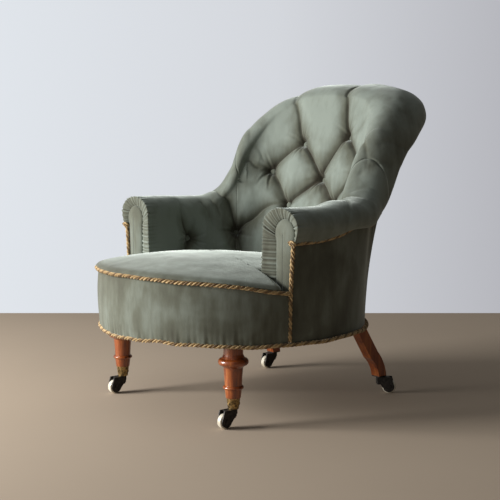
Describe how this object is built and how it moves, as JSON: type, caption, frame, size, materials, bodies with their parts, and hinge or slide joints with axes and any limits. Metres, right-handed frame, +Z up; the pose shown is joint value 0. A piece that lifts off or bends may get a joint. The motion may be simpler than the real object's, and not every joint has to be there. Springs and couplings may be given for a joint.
{
  "type": "tub chair",
  "caption": "Low armchair whose buttoned back flares into a high rounded crest and runs down into low padded arms, on a round seat base with turned and curved legs on casters.",
  "frame": {"origin": "on the floor, under the middle of the chair's outline", "axes": "+Z up, the front of the chair towards -Y, the sitter's left towards +X"},
  "size_m": [0.7128, 0.8718, 0.8193],
  "materials": {
    "velvet": "soft cut pile",
    "stuffing": "matte",
    "plain_cloth": "plain weave",
    "twine": "matte",
    "cord": "twisted, slightly glossy",
    "frame_wood": "raw",
    "polished_wood": "polished",
    "brass": "worn",
    "brass_screws": "worn",
    "dark_iron": "aged",
    "rod_iron": "raw",
    "spring_steel": "coppered",
    "china": "glazed"
  },
  "bodies": {
    "chair": {"arm_buttons": "velvet", "arm_front_rope_left": "cord", "arm_front_rope_right": "cord", "arm_pad_left": "velvet", "arm_pad_right": "velvet", "arm_post_left": "frame_wood", "arm_post_right": "frame_wood", "back_buttons": "velvet", "base_rope": "cord", "bottom_cloth": "plain_cloth", "button_twines": "twine", "caster_cup_front_left": "brass", "caster_cup_front_right": "brass", "caster_pintle_front_left": "dark_iron", "caster_pintle_front_right": "dark_iron", "caster_pintle_rear_left": "dark_iron", "caster_pintle_rear_right": "dark_iron", "caster_plate_rear_left": "dark_iron", "caster_plate_rear_right": "dark_iron", "caster_screws": "brass_screws", "corner_blocks": "frame_wood", "crest_rod": "rod_iron", "facing_left": "velvet", "facing_right": "velvet", "front_border": "velvet", "front_leg_left": "polished_wood", "front_leg_right": "polished_wood", "inside_back_pad": "velvet", "iron_uprights": "rod_iron", "outer_top_rope": "cord", "outside_arm_left": "velvet", "outside_arm_right": "velvet", "outside_back_cover": "velvet", "rear_leg_dowels": "frame_wood", "rear_leg_left": "polished_wood", "rear_leg_right": "polished_wood", "seat_cover": "velvet", "seat_edge_rope": "cord", "seat_rail_back": "frame_wood", "seat_rail_front": "frame_wood", "seat_rail_left": "frame_wood", "seat_rail_right": "frame_wood", "seat_springs": "spring_steel", "seat_stuffing": "stuffing", "spring_canvas": "plain_cloth", "webbing_cross": "plain_cloth", "webbing_fore_aft": "plain_cloth"},
    "swivel_front_left": {"caster_horn_front_left": "dark_iron", "caster_axle_front_left": "dark_iron"},
    "wheel_front_left": {"caster_wheel_front_left": "china"},
    "swivel_front_right": {"caster_horn_front_right": "dark_iron", "caster_axle_front_right": "dark_iron"},
    "wheel_front_right": {"caster_wheel_front_right": "china"},
    "swivel_rear_left": {"caster_horn_rear_left": "dark_iron", "caster_axle_rear_left": "dark_iron"},
    "wheel_rear_left": {"caster_wheel_rear_left": "china"},
    "swivel_rear_right": {"caster_horn_rear_right": "dark_iron", "caster_axle_rear_right": "dark_iron"},
    "wheel_rear_right": {"caster_wheel_rear_right": "china"}
  },
  "joints": [
    {"name": "swivel_front_left", "type": "hinge", "parent": "chair", "child": "swivel_front_left", "pos_m": [0.235, -0.26945, 0.035], "axis": [0, 0, 1], "continuous": true},
    {"name": "roll_front_left", "type": "hinge", "parent": "swivel_front_left", "child": "wheel_front_left", "pos_m": [0.235, -0.29645, 0.018], "axis": [1, 0, 0], "continuous": true},
    {"name": "swivel_front_right", "type": "hinge", "parent": "chair", "child": "swivel_front_right", "pos_m": [-0.235, -0.26945, 0.035], "axis": [0, 0, 1], "continuous": true},
    {"name": "roll_front_right", "type": "hinge", "parent": "swivel_front_right", "child": "wheel_front_right", "pos_m": [-0.235, -0.29645, 0.018], "axis": [1, 0, 0], "continuous": true},
    {"name": "swivel_rear_left", "type": "hinge", "parent": "chair", "child": "swivel_rear_left", "pos_m": [0.214, 0.25055, 0.035], "axis": [0, 0, 1], "continuous": true},
    {"name": "roll_rear_left", "type": "hinge", "parent": "swivel_rear_left", "child": "wheel_rear_left", "pos_m": [0.23468, 0.2679, 0.018], "axis": [-0.6428, 0.766, 0], "continuous": true},
    {"name": "swivel_rear_right", "type": "hinge", "parent": "chair", "child": "swivel_rear_right", "pos_m": [-0.214, 0.25055, 0.035], "axis": [0, 0, 1], "continuous": true},
    {"name": "roll_rear_right", "type": "hinge", "parent": "swivel_rear_right", "child": "wheel_rear_right", "pos_m": [-0.214, 0.22355, 0.018], "axis": [1, 0, 0], "continuous": true}
  ]
}
